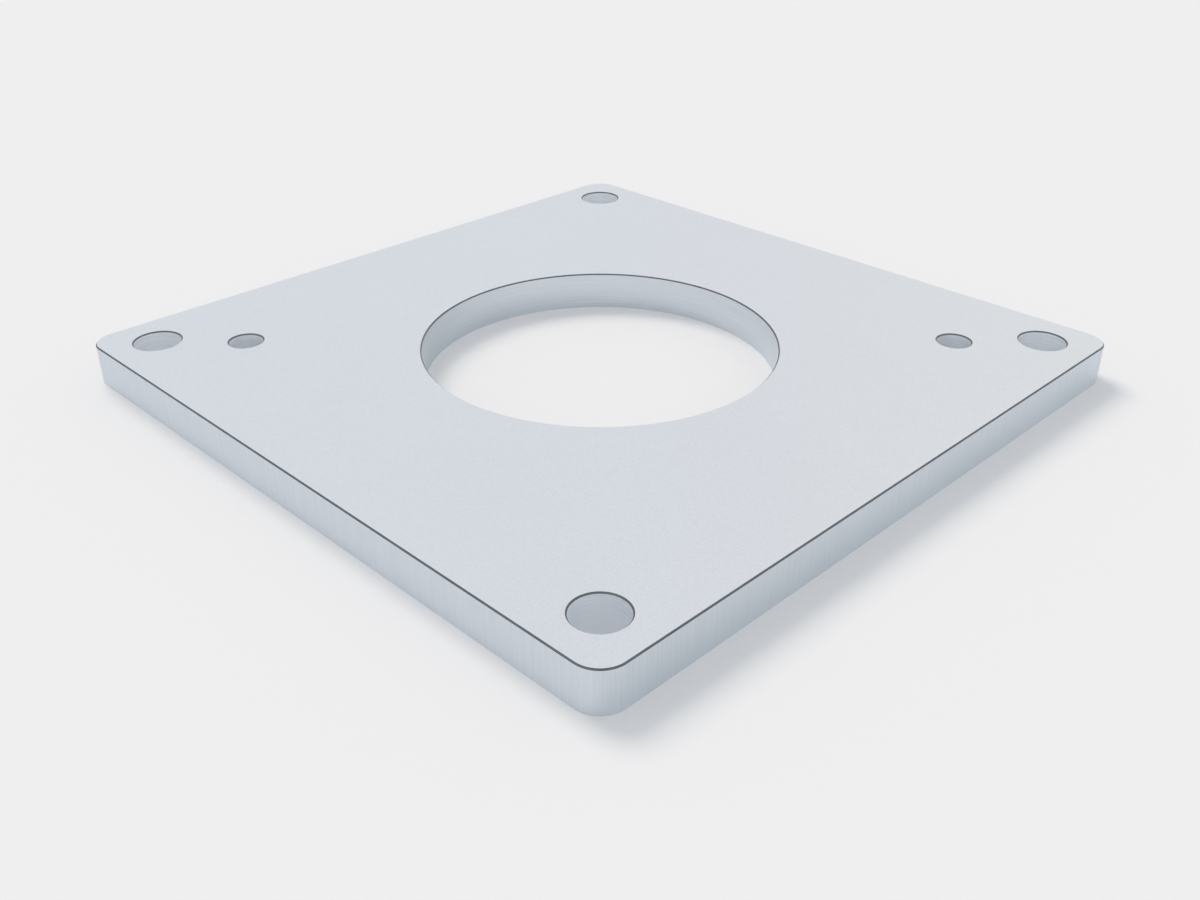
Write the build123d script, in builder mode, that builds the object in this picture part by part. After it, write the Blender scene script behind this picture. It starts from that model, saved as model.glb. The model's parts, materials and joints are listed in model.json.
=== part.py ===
from build123d import *
import os

# A flat square plate that carries a gearbox, machined from one piece of aluminium.
# Sizes are in millimetres, with +Z pointing up out of the seating face.
# The plate lies on its underside with its middle at the origin, and its sides run along X and Y.

# Outline
plate_side = 145.0  # outside, both ways across
plate_thickness = 8.0
corner_radius = 5.0  # the four upright corners
outer_chamfer = 0.25  # round the top edge

# Bore in the middle, for the gearbox's round spigot
bore_diameter = 70.8
bore_chamfer = 0.25

# Four through holes for the screws that hold the plate down, one near each corner
corner_hole_diameter = 9.2
corner_hole_chamfer = 0.25
corner_hole_inset = 10.0  # from the nearest two sides to the middle of the hole

# Two smaller through holes on one diagonal, between the corner holes and the bore
diagonal_hole_diameter = 6.7
diagonal_hole_chamfer = 0.25
diagonal_hole_inset = 22.5  # from the nearest two sides to the middle of the hole

# The cone that breaks the edge of a screw hole, measured right across
hole_cone_angle = 90.0

# Places that follow from the sizes above
corner_hole_pitch = plate_side - 2 * corner_hole_inset
diagonal_hole_offset = plate_side / 2 - diagonal_hole_inset
seating_plane = Plane.XY.offset(plate_thickness)

with BuildPart() as mounting_plate:
    # The blank is a square with rounded corners
    with BuildSketch(Plane.XY) as outline:
        RectangleRounded(plate_side, plate_side, corner_radius)
    extrude(amount=plate_thickness)

    # Its top edge is broken all the way round, and the bottom edge is left sharp
    top_edges = mounting_plate.faces().sort_by(Axis.Z)[-1].edges()
    chamfer(top_edges, length=outer_chamfer)

    # The bore goes right through, with its top rim broken as a lead-in
    Hole(radius=bore_diameter / 2)
    bore_rim = mounting_plate.edges(Select.LAST).group_by(Axis.Z)[-1]
    chamfer(bore_rim, length=bore_chamfer)

    # The corner holes make a square pattern round the bore
    with Locations(seating_plane):
        with GridLocations(corner_hole_pitch, corner_hole_pitch, 2, 2):
            CounterSinkHole(
                radius=corner_hole_diameter / 2,
                counter_sink_radius=corner_hole_diameter / 2 + corner_hole_chamfer,
                counter_sink_angle=hole_cone_angle,
            )

    # The two smaller holes face each other across the bore
    with Locations(seating_plane):
        with Locations(
            (-diagonal_hole_offset, diagonal_hole_offset),
            (diagonal_hole_offset, -diagonal_hole_offset),
        ):
            CounterSinkHole(
                radius=diagonal_hole_diameter / 2,
                counter_sink_radius=diagonal_hole_diameter / 2 + diagonal_hole_chamfer,
                counter_sink_angle=hole_cone_angle,
            )

mounting_plate.part.label = "mounting_plate"

os.makedirs("parts", exist_ok=True)
export_step(mounting_plate.part, "parts/mounting_plate.step")
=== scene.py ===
import json
import math

import bpy
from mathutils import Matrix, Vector


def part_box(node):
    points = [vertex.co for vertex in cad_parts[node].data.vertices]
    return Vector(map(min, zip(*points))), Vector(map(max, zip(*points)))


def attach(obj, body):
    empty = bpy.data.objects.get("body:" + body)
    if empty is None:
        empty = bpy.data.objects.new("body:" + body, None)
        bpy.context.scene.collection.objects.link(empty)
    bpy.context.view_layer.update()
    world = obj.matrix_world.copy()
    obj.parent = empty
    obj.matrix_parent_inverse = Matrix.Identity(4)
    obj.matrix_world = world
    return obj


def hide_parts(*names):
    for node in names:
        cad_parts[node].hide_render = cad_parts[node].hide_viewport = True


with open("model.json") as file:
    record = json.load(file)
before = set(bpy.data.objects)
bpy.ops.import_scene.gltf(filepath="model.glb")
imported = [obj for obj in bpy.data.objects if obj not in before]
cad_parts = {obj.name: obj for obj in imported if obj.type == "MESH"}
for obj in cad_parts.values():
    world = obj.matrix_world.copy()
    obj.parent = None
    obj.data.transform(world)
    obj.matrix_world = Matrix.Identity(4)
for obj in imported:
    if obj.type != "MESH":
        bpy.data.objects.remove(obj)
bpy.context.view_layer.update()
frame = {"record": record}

# The looks of a machined aluminium plate that a gearbox is bolted to.
# Metres, with +Z up out of the seating face. The plate lies on the floor, with its middle at the origin.

MM = 0.001
PLATE_LOW, PLATE_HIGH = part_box("mounting_plate")
MOUNTS = {mount["name"]: mount["dims"] for mount in frame["record"]["mounts"]}

# Sizes of the plate, of which the frame gives all but the corner radius and the width of the broken edges
PLATE = {
    "Side": PLATE_HIGH.x - PLATE_LOW.x,
    "Thickness": PLATE_HIGH.z - PLATE_LOW.z,
    "Corner Radius": 5.0 * MM,
    "Broken Edge": 0.25 * MM,
    "Bore Radius": MOUNTS["gearbox_bore"]["r_mm"] * MM,
    "Corner Hole Pitch": MOUNTS["corner_screws"]["spacing_x_mm"] * MM,
    "Corner Hole Radius": MOUNTS["corner_screws"]["hole_r_mm"] * MM,
    # Along X and along Y: half the width of the circle through both holes, over root 2 for its 45 degrees
    "Diagonal Hole Offset": MOUNTS["diagonal_screws"]["pcd_mm"] * MM / math.sqrt(8),
    "Diagonal Hole Radius": MOUNTS["diagonal_screws"]["hole_r_mm"] * MM,
}

# How finely the round shapes are divided, and how their faces are joined and shaded
STEPS = {"Bore Steps": 256, "Hole Steps": 96, "Corner Steps": 24}
WELD_DISTANCE = 0.002 * MM
CREASE_ANGLE = math.radians(30)
SLOPE_RANGE = (0.3, 0.9)  # how far up a broken edge's face may point, from 0 for a wall to 1 for the top

# Colours of the metal, and the share by which each gets lighter and darker from place to place
SATIN_TONE = (0.695, 0.722, 0.760)  # the flat faces
SATIN_VARIATION = 0.05
WALL_TONE = (0.706, 0.752, 0.797)  # the outer walls and the bore
WALL_VARIATION = 0.03
HOLE_TONE = (0.915, 0.940, 0.970)  # the screw holes: bare cut metal, and partly painted light, set lighter than the bore to lift the shade inside the small holes
RING_VARIATION = 0.05  # in the bore and the screw holes
EDGE_SHADE_TONE = (0.125, 0.136, 0.152)  # the broken edges: painted shade, far darker than the metal, so that each edge shows as a dark line
EDGE_VARIATION = 0.12

# Roughness, from the smoothest places of a surface to the roughest
SATIN_ROUGHNESS = (0.40, 0.44)
WALL_ROUGHNESS = (0.51, 0.57)
BORE_ROUGHNESS = (0.36, 0.44)
HOLE_ROUGHNESS = (0.56, 0.64)
EDGE_ROUGHNESS = (0.28, 0.40)

# Marks on the metal
GRAIN_SIZE = 0.30 * MM
GRAIN_RELIEF = 0.008 * MM
GRAIN_SHARE = 0.8  # of the satin's change of tone, where the clouds have the rest
CLOUD_SIZE = 18 * MM
TRACE_WIDTH = 0.35 * MM  # of the cutter's upright traces on the outer walls
TRACE_STRETCH = 60
CUT_RELIEF = 0.004 * MM  # of every mark that a tool leaves: the traces, the rings and the edges' patches
BORE_RING = 0.20 * MM
HOLE_RING = 0.15 * MM
RING_STRETCH = 80
EDGE_PATCH = 3 * MM

# The speckle that all the marks are made from: how rich it is, and where most of its values lie
PLAIN_DETAIL = 2.0
RICH_DETAIL = 3.0
SPECKLE_SPREAD = (0.3, 0.7)

# The floor
FLOOR_REACH = 6.0
FLOOR_TONE = (0.800, 0.800, 0.795)
FLOOR_ROUGHNESS = 0.9
FLOOR_GLOSS = 0.1

# The air, which lights the floor and which the metal mirrors
AIR_LIGHT = 0.78  # on the floor
AIR_TONE = (0.955, 0.985, 1.04)
COOL_AIR = (0.975, 0.978, 1.0)  # as the metal mirrors it
WARM_AIR = (1.035, 1.035, 1.005)  # as the metal mirrors it on the warm side
WARM_SIDE = (1.0, -1.0, 0.0)
TINT_RANGE = (0.05, 0.35)  # how far towards the warm side the air begins to turn, and has turned
GLOW_SIDE = (-0.85, 0.30, 0.75)  # where the mirrored air is a little lighter
GLOW_REACH = math.radians(50)
GLOW_PEAK = 1.15

# The lamp
LAMP_SIDE = (0.15, 0.87, 1.00)
LAMP_SPREAD = math.radians(28)
LAMP_STRENGTH = 1.3
LAMP_TONE = (1.08, 1.00, 0.92)

# The camera looks along the diagonal, down on the near corner
CAMERA_REACH = 224.8 * MM
CAMERA_HEIGHT = 112.6 * MM
CAMERA_ELEVATION = math.radians(30)
CAMERA_TURN = math.radians(-45)
FRAME_SIZE = (1200, 900)
VIEW_ANGLE_UP = math.radians(40)
SENSOR_WIDTH = 36.0
NEAREST_SEEN = 10 * MM


def add_node(tree, kind, inputs=None, **settings):
    """Adds a node. An input is given a value, a socket, a node whose first output is meant, or a list."""
    node = tree.nodes.new(kind)
    for name, value in settings.items():
        setattr(node, name, value)
    for key, given in (inputs or {}).items():
        socket = node.inputs[key]
        for value in given if isinstance(given, list) else [given]:
            if isinstance(value, bpy.types.Node):
                value = value.outputs[0]
            if isinstance(value, bpy.types.NodeSocket):
                tree.links.new(value, socket)
            else:
                socket.default_value = value
    return node


def calculated(tree, operation, a, b):
    """The result of one calculation with two numbers."""
    return add_node(tree, "ShaderNodeMath", {0: a, 1: b}, operation=operation)


def new_tree(name, sizes, counts, materials):
    """An empty geometry tree with a named input for each size, count and material, and its inputs."""
    tree = bpy.data.node_groups.new(name, "GeometryNodeTree")
    tree.interface.new_socket("Geometry", in_out="OUTPUT", socket_type="NodeSocketGeometry")
    for kind, names in (("Float", sizes), ("Int", counts), ("Material", materials)):
        for each in names:
            tree.interface.new_socket(each, in_out="INPUT", socket_type="NodeSocket" + kind)
    return tree, tree.nodes.new("NodeGroupInput").outputs


def upward(tree, height):
    """A way straight up, of the given height."""
    return add_node(tree, "ShaderNodeCombineXYZ", {"Z": height})


def lifted(tree, geometry, height):
    """The geometry, moved straight up."""
    move = {"Geometry": geometry, "Translation": upward(tree, height)}
    return add_node(tree, "GeometryNodeTransform", move)


def finished(tree, geometry, material, **chosen):
    """The geometry, with a material on all its faces or on the chosen ones."""
    finish = {"Geometry": geometry, "Material": material, **chosen}
    return add_node(tree, "GeometryNodeSetMaterial", finish)


def round_hole(tree, given, spots, radius, steps, finish):
    """The lining of a round hole at each spot, and its outlines on the top face and on the underside."""
    rim_radius = calculated(tree, "ADD", radius, given["Broken Edge"])
    wall_height = calculated(tree, "SUBTRACT", given["Thickness"], given["Broken Edge"])
    half_height = calculated(tree, "MULTIPLY", wall_height, 0.5)
    wall = add_node(
        tree,
        "GeometryNodeMeshCylinder",
        {"Vertices": steps, "Radius": radius, "Depth": wall_height},
        fill_type="NONE",
    )
    rim = add_node(
        tree,
        "GeometryNodeMeshCone",
        {
            "Vertices": steps,
            "Radius Top": rim_radius,
            "Radius Bottom": radius,
            "Depth": given["Broken Edge"],
        },
        fill_type="NONE",
    )
    lining = add_node(
        tree,
        "GeometryNodeJoinGeometry",
        {"Geometry": [lifted(tree, wall, half_height), lifted(tree, rim, wall_height)]},
    )
    inside_out = add_node(tree, "GeometryNodeFlipFaces", {"Mesh": finished(tree, lining, finish)})
    outlines = [
        add_node(tree, "GeometryNodeCurvePrimitiveCircle", {"Resolution": steps, "Radius": each})
        for each in (rim_radius, radius)
    ]
    copies = [
        add_node(tree, "GeometryNodeInstanceOnPoints", {"Points": spots, "Instance": each})
        for each in (inside_out, *outlines)
    ]
    return [add_node(tree, "GeometryNodeRealizeInstances", {"Geometry": each}) for each in copies]


def drawn_in(tree, geometry, side, corner_radius, inset, **chosen):
    """Moves points of the outline straight in from the sides, or towards the middle of a rounded corner."""
    place = add_node(tree, "GeometryNodeInputPosition")
    reach = calculated(tree, "SUBTRACT", calculated(tree, "MULTIPLY", side, 0.5), corner_radius)
    most = add_node(tree, "ShaderNodeCombineXYZ", {"X": reach, "Y": reach, "Z": 1.0})
    least = add_node(tree, "ShaderNodeVectorMath", {0: most, "Scale": -1.0}, operation="SCALE")
    capped = add_node(tree, "ShaderNodeVectorMath", {0: place, 1: most}, operation="MINIMUM")
    middle = add_node(tree, "ShaderNodeVectorMath", {0: capped, 1: least}, operation="MAXIMUM")
    spoke = add_node(tree, "ShaderNodeVectorMath", {0: place, 1: middle}, operation="SUBTRACT")
    outward = add_node(tree, "ShaderNodeVectorMath", {0: spoke}, operation="NORMALIZE")
    shift = calculated(tree, "MULTIPLY", inset, -1.0)
    move = add_node(tree, "ShaderNodeVectorMath", {0: outward, "Scale": shift}, operation="SCALE")
    return add_node(tree, "GeometryNodeSetPosition", {"Geometry": geometry, "Offset": move, **chosen})


def outer_wall(tree, given, outline):
    """The upright wall round the plate, with the broken edge on top of it."""
    foot = add_node(tree, "GeometryNodeCurveToMesh", {"Curve": outline})
    wall_height = calculated(tree, "SUBTRACT", given["Thickness"], given["Broken Edge"])
    wall = add_node(
        tree,
        "GeometryNodeExtrudeMesh",
        {"Mesh": foot, "Offset": upward(tree, 1.0), "Offset Scale": wall_height},
        mode="EDGES",
    )
    edge = add_node(
        tree,
        "GeometryNodeExtrudeMesh",
        {
            "Mesh": wall,
            "Selection": wall.outputs["Top"],
            "Offset": upward(tree, 1.0),
            "Offset Scale": given["Broken Edge"],
        },
        mode="EDGES",
    )
    sizes = given["Side"], given["Corner Radius"], given["Broken Edge"]
    shaped = drawn_in(tree, edge, *sizes, Selection=edge.outputs["Top"])
    facing_out = add_node(tree, "GeometryNodeFlipFaces", {"Mesh": shaped})
    return finished(tree, facing_out, given["Side Finish"])


def hole_spots(tree, given):
    """The middle of the bore, the middles of the corner holes, and those of the two smaller holes."""
    middle = add_node(tree, "GeometryNodePoints", {"Count": 1})
    pitch = given["Corner Hole Pitch"]
    corners = add_node(
        tree,
        "GeometryNodeMeshGrid",
        {"Size X": pitch, "Size Y": pitch, "Vertices X": 2, "Vertices Y": 2},
    )
    offset = given["Diagonal Hole Offset"]
    back = calculated(tree, "MULTIPLY", offset, -1.0)
    diagonal = add_node(
        tree,
        "GeometryNodeMeshLine",
        {
            "Count": 2,
            "Start Location": add_node(tree, "ShaderNodeCombineXYZ", {"X": back, "Y": offset}),
            "Offset": add_node(tree, "ShaderNodeCombineXYZ", {"X": offset, "Y": back}),
        },
        mode="END_POINTS",
    )
    return middle, corners, diagonal


def shaded(tree, geometry):
    """The geometry with smooth round walls and a crease wherever it folds sharply."""
    smooth = add_node(tree, "GeometryNodeSetShadeSmooth", {"Geometry": geometry})
    crease = calculated(tree, "GREATER_THAN", add_node(tree, "GeometryNodeInputMeshEdgeAngle"), CREASE_ANGLE)
    return add_node(
        tree,
        "GeometryNodeSetShadeSmooth",
        {"Geometry": smooth, "Selection": crease, "Shade Smooth": False},
        domain="EDGE",
    )


def sloping_faces(tree):
    """Picks out the broken edges: only they slope, so the way that a face points tells them."""
    direction = add_node(tree, "ShaderNodeSeparateXYZ", {0: add_node(tree, "GeometryNodeInputNormal")})
    least, most = SLOPE_RANGE
    above = calculated(tree, "GREATER_THAN", direction.outputs["Z"], least)
    below = calculated(tree, "LESS_THAN", direction.outputs["Z"], most)
    return calculated(tree, "MULTIPLY", above, below)


def plate_tree():
    """The whole plate: walls, bore and screw holes, closed by a flat face above and below."""
    finishes = ("Face Finish", "Side Finish", "Bore Finish", "Hole Finish", "Edge Painted Shade")
    tree, given = new_tree("machined_plate", PLATE, STEPS, finishes)
    square = add_node(
        tree,
        "GeometryNodeCurvePrimitiveQuadrilateral",
        {"Width": given["Side"], "Height": given["Side"]},
    )
    outline = add_node(
        tree,
        "GeometryNodeFilletCurve",
        {"Curve": square, "Count": given["Corner Steps"], "Radius": given["Corner Radius"]},
        mode="POLY",
    )
    inner_outline = drawn_in(tree, outline, given["Side"], given["Corner Radius"], given["Broken Edge"])

    middle, corners, diagonal = hole_spots(tree, given)
    bore_steps, hole_steps = given["Bore Steps"], given["Hole Steps"]
    holes = (
        (middle, given["Bore Radius"], bore_steps, given["Bore Finish"]),
        (corners, given["Corner Hole Radius"], hole_steps, given["Hole Finish"]),
        (diagonal, given["Diagonal Hole Radius"], hole_steps, given["Hole Finish"]),
    )
    linings, upper_rims, lower_rims = zip(*(round_hole(tree, given, *hole) for hole in holes))

    caps = []
    for outlines in ([inner_outline, *upper_rims], [outline, *lower_rims]):
        drawn = add_node(tree, "GeometryNodeJoinGeometry", {"Geometry": outlines})
        cap = add_node(tree, "GeometryNodeFillCurve", {"Curve": drawn}, mode="TRIANGLES")
        caps.append(finished(tree, cap, given["Face Finish"]))
    top = lifted(tree, caps[0], given["Thickness"])
    underside = add_node(tree, "GeometryNodeFlipFaces", {"Mesh": caps[1]})

    joined = add_node(
        tree,
        "GeometryNodeJoinGeometry",
        {"Geometry": [top, underside, outer_wall(tree, given, outline), *linings]},
    )
    weld = {"Geometry": joined, "Distance": WELD_DISTANCE}
    welded = add_node(tree, "GeometryNodeMergeByDistance", weld)
    whole = add_node(tree, "GeometryNodeRealizeInstances", {"Geometry": shaded(tree, welded)})
    # The broken edges get a colour painted far darker than the metal, as a dark line of shade along each
    # edge
    result = finished(tree, whole, given["Edge Painted Shade"], Selection=sloping_faces(tree))
    add_node(tree, "NodeGroupOutput", {"Geometry": result})
    return tree


def made_plain(name, tree, values):
    """A plain mesh object with what the tree makes from these values."""
    maker = bpy.data.objects.new(name + "_maker", bpy.data.meshes.new(name + "_maker"))
    bpy.context.scene.collection.objects.link(maker)
    shape = maker.modifiers.new("shape", "NODES")
    shape.node_group = tree
    for socket in tree.interface.items_tree:
        if socket.in_out == "INPUT":
            shape[socket.identifier] = values[socket.name]
    even = maker.modifiers.new("even_shading", "WEIGHTED_NORMAL")
    even.keep_sharp = True
    seen = maker.evaluated_get(bpy.context.evaluated_depsgraph_get())
    mesh = bpy.data.meshes.new_from_object(seen)
    mesh.name = name
    empty_slot = mesh.materials[:].index(None)  # the round walls start with one
    mesh.materials.pop(index=empty_slot)
    bpy.data.objects.remove(maker)
    piece = bpy.data.objects.new(name, mesh)
    bpy.context.scene.collection.objects.link(piece)
    return piece


def new_finish(name):
    """An empty material and its tree."""
    material = bpy.data.materials.new(name)
    material.use_nodes = True
    tree = material.node_tree
    tree.nodes.clear()
    return material, tree


def speckle(tree, sizes, detail=PLAIN_DETAIL):
    """A random pattern from 0 to 1, whose patches are about as long as the sizes along X, Y and Z."""
    stretched = add_node(
        tree,
        "ShaderNodeVectorMath",
        {0: add_node(tree, "ShaderNodeTexCoord").outputs["Object"], 1: tuple(1 / size for size in sizes)},
        operation="MULTIPLY",
    )
    return add_node(tree, "ShaderNodeTexNoise", {"Vector": stretched, "Scale": 1.0, "Detail": detail})


def ranged(tree, pattern, low, high):
    """The pattern spread from low to high. Most of a speckle's own values lie within SPECKLE_SPREAD."""
    least, most = SPECKLE_SPREAD
    return add_node(tree, "ShaderNodeMapRange", {0: pattern, 1: least, 2: most, 3: low, 4: high})


def toned(tree, tone, variation, pattern):
    """The tone, made darker and lighter by a share of itself as the pattern goes."""
    darker, lighter = ((*(value * (1 + share) for value in tone), 1.0) for share in (-variation, variation))
    factor = ranged(tree, pattern, 0.0, 1.0)
    mixed = add_node(tree, "ShaderNodeMix", {0: factor, 6: darker, 7: lighter}, data_type="RGBA")
    return mixed.outputs[2]


def raised(tree, pattern, height, below=None):
    """Relief of the given height in metres, on top of the relief below it."""
    inputs = {"Height": pattern, "Distance": height, "Strength": 1.0}
    if below:
        inputs["Normal"] = below
    return add_node(tree, "ShaderNodeBump", inputs)


def metal(tree, tone, roughness, relief):
    """Ends a finish as bare metal."""
    surface = add_node(
        tree,
        "ShaderNodeBsdfPrincipled",
        {"Base Color": tone, "Metallic": 1.0, "Roughness": roughness, "Normal": relief},
    )
    add_node(tree, "ShaderNodeOutputMaterial", {"Surface": surface})


def face_finish():
    """The top and the underside: blasted to an even satin, with a fine grain and faint clouding."""
    material, tree = new_finish("face_finish")
    clouding = speckle(tree, [CLOUD_SIZE] * 3, RICH_DETAIL)
    grain = speckle(tree, [GRAIN_SIZE] * 3)
    both = add_node(tree, "ShaderNodeMix", {0: GRAIN_SHARE, 2: clouding, 3: grain}, data_type="FLOAT")
    tone = toned(tree, SATIN_TONE, SATIN_VARIATION, both)
    metal(tree, tone, ranged(tree, clouding, *SATIN_ROUGHNESS), raised(tree, grain, GRAIN_RELIEF))
    return material


def side_finish():
    """The outer walls: the same satin over the upright traces of the cutter that ran round them."""
    material, tree = new_finish("side_finish")
    clouding = speckle(tree, [CLOUD_SIZE] * 3, RICH_DETAIL)
    traces = speckle(tree, (TRACE_WIDTH, TRACE_WIDTH, TRACE_WIDTH * TRACE_STRETCH))
    grain = speckle(tree, [GRAIN_SIZE] * 3)
    relief = raised(tree, grain, GRAIN_RELIEF, below=raised(tree, traces, CUT_RELIEF))
    tone = toned(tree, WALL_TONE, WALL_VARIATION, traces)
    metal(tree, tone, ranged(tree, clouding, *WALL_ROUGHNESS), relief)
    return material


def turned_finish(name, tone, ring, roughness):
    """A round wall, with the fine rings that the tool leaves as it goes down."""
    material, tree = new_finish(name)
    rings = speckle(tree, (ring * RING_STRETCH, ring * RING_STRETCH, ring), RICH_DETAIL)
    tone = toned(tree, tone, RING_VARIATION, rings)
    metal(tree, tone, ranged(tree, rings, *roughness), raised(tree, rings, CUT_RELIEF))
    return material


def edge_painted_shade():
    """The broken edges: a narrow cut face, glossier than the satin round it, with painted shade: coloured
    far darker than the metal, so that each edge shows as a dark line.
    """
    material, tree = new_finish("edge_painted_shade")
    patches = speckle(tree, [EDGE_PATCH] * 3, RICH_DETAIL)
    tone = toned(tree, EDGE_SHADE_TONE, EDGE_VARIATION, patches)
    metal(tree, tone, ranged(tree, patches, *EDGE_ROUGHNESS), raised(tree, patches, CUT_RELIEF))
    return material


def make_floor():
    """A plain pale floor, with a surface as even as painted board."""
    mesh = bpy.data.meshes.new("floor")
    quarters = ((-1, -1), (1, -1), (1, 1), (-1, 1))
    corners = [(x * FLOOR_REACH, y * FLOOR_REACH, 0.0) for x, y in quarters]
    mesh.from_pydata(corners, [], [(0, 1, 2, 3)])
    floor = bpy.data.objects.new("floor", mesh)
    bpy.context.scene.collection.objects.link(floor)
    material, tree = new_finish("floor_paint")
    look = {
        "Base Color": (*FLOOR_TONE, 1.0),
        "Roughness": FLOOR_ROUGHNESS,
        "Specular IOR Level": FLOOR_GLOSS,
    }
    paint = add_node(tree, "ShaderNodeBsdfPrincipled", look)
    add_node(tree, "ShaderNodeOutputMaterial", {"Surface": paint})
    mesh.materials.append(material)


def lit_floor_tone():
    """The colour that the open floor has in this light, for the air beyond its far edge."""
    lamp_share = LAMP_STRENGTH * Vector(LAMP_SIDE).normalized().z / math.pi
    channels = zip(FLOOR_TONE, AIR_TONE, LAMP_TONE)
    return tuple(floor * (AIR_LIGHT * air + lamp_share * lamp) for floor, air, lamp in channels)


def towards(tree, direction, side, start, end, low, high):
    """Goes gently from low to high as the direction turns towards a side, from the start to the end."""
    unit = tuple(Vector(side).normalized())
    turned = add_node(tree, "ShaderNodeVectorMath", {0: direction, 1: unit}, operation="DOT_PRODUCT")
    return add_node(
        tree,
        "ShaderNodeMapRange",
        {0: turned.outputs["Value"], 1: start, 2: end, 3: low, 4: high},
        interpolation_type="SMOOTHSTEP",
    )


def make_air():
    """The air all round. The metal mirrors it, the eye sees it past the floor, and it lights the rest."""
    world = bpy.data.worlds.new("studio_air")
    bpy.context.scene.world = world
    world.use_nodes = True
    tree = world.node_tree
    tree.nodes.clear()
    direction = add_node(tree, "ShaderNodeTexCoord").outputs["Generated"]
    warmth = towards(tree, direction, WARM_SIDE, *TINT_RANGE, 0.0, 1.0)
    tints = {0: warmth, 6: (*COOL_AIR, 1.0), 7: (*WARM_AIR, 1.0)}
    mirrored = add_node(tree, "ShaderNodeMix", tints, data_type="RGBA").outputs[2]
    glow = towards(tree, direction, GLOW_SIDE, math.cos(GLOW_REACH), 1.0, 1.0, GLOW_PEAK)
    path = add_node(tree, "ShaderNodeLightPath").outputs
    mirrors = calculated(tree, "MAXIMUM", path["Is Glossy Ray"], path["Is Transmission Ray"])
    soft_light, reflection, backdrop = (
        add_node(tree, "ShaderNodeBackground", {"Color": colour, "Strength": strength})
        for colour, strength in (
            ((*AIR_TONE, 1.0), AIR_LIGHT),
            (mirrored, glow),
            ((*lit_floor_tone(), 1.0), 1.0),
        )
    )
    lit = add_node(tree, "ShaderNodeMixShader", {0: mirrors, 1: soft_light, 2: reflection})
    seen = add_node(tree, "ShaderNodeMixShader", {0: path["Is Camera Ray"], 1: lit, 2: backdrop})
    add_node(tree, "ShaderNodeOutputWorld", {"Surface": seen})


def make_lamp():
    """One far soft lamp, which casts the plate's shadow. The metal mirrors the air and not the lamp."""
    data = bpy.data.lights.new("soft_lamp", "SUN")
    data.energy = LAMP_STRENGTH
    data.angle = LAMP_SPREAD
    data.color = LAMP_TONE
    lamp = bpy.data.objects.new("soft_lamp", data)
    lamp.rotation_euler = (-Vector(LAMP_SIDE)).to_track_quat("-Z", "Y").to_euler()
    lamp.visible_glossy = False
    bpy.context.scene.collection.objects.link(lamp)


def make_camera():
    """The camera, whose lens gives the frame its angle from the bottom to the top."""
    data = bpy.data.cameras.new("camera")
    data.sensor_width = SENSOR_WIDTH
    width, height = FRAME_SIZE
    data.lens = SENSOR_WIDTH * height / 2 / math.tan(VIEW_ANGLE_UP / 2) / width
    data.clip_start = NEAREST_SEEN
    camera = bpy.data.objects.new("camera", data)
    camera.location = (
        CAMERA_REACH * math.sin(CAMERA_TURN),
        -CAMERA_REACH * math.cos(CAMERA_TURN),
        CAMERA_HEIGHT,
    )
    camera.rotation_euler = (math.pi / 2 - CAMERA_ELEVATION, 0.0, CAMERA_TURN)
    bpy.context.scene.collection.objects.link(camera)
    bpy.context.scene.camera = camera


make_camera()
make_floor()
make_air()
make_lamp()

finishes = {
    "Face Finish": face_finish(),
    "Side Finish": side_finish(),
    "Bore Finish": turned_finish("bore_finish", WALL_TONE, BORE_RING, BORE_ROUGHNESS),
    "Hole Finish": turned_finish("hole_finish", HOLE_TONE, HOLE_RING, HOLE_ROUGHNESS),
    "Edge Painted Shade": edge_painted_shade(),
}
plate = made_plain("gearbox_plate", plate_tree(), {**PLATE, **STEPS, **finishes})
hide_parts("mounting_plate")
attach(plate, "root")

bpy.context.scene.view_settings.view_transform = "Standard"
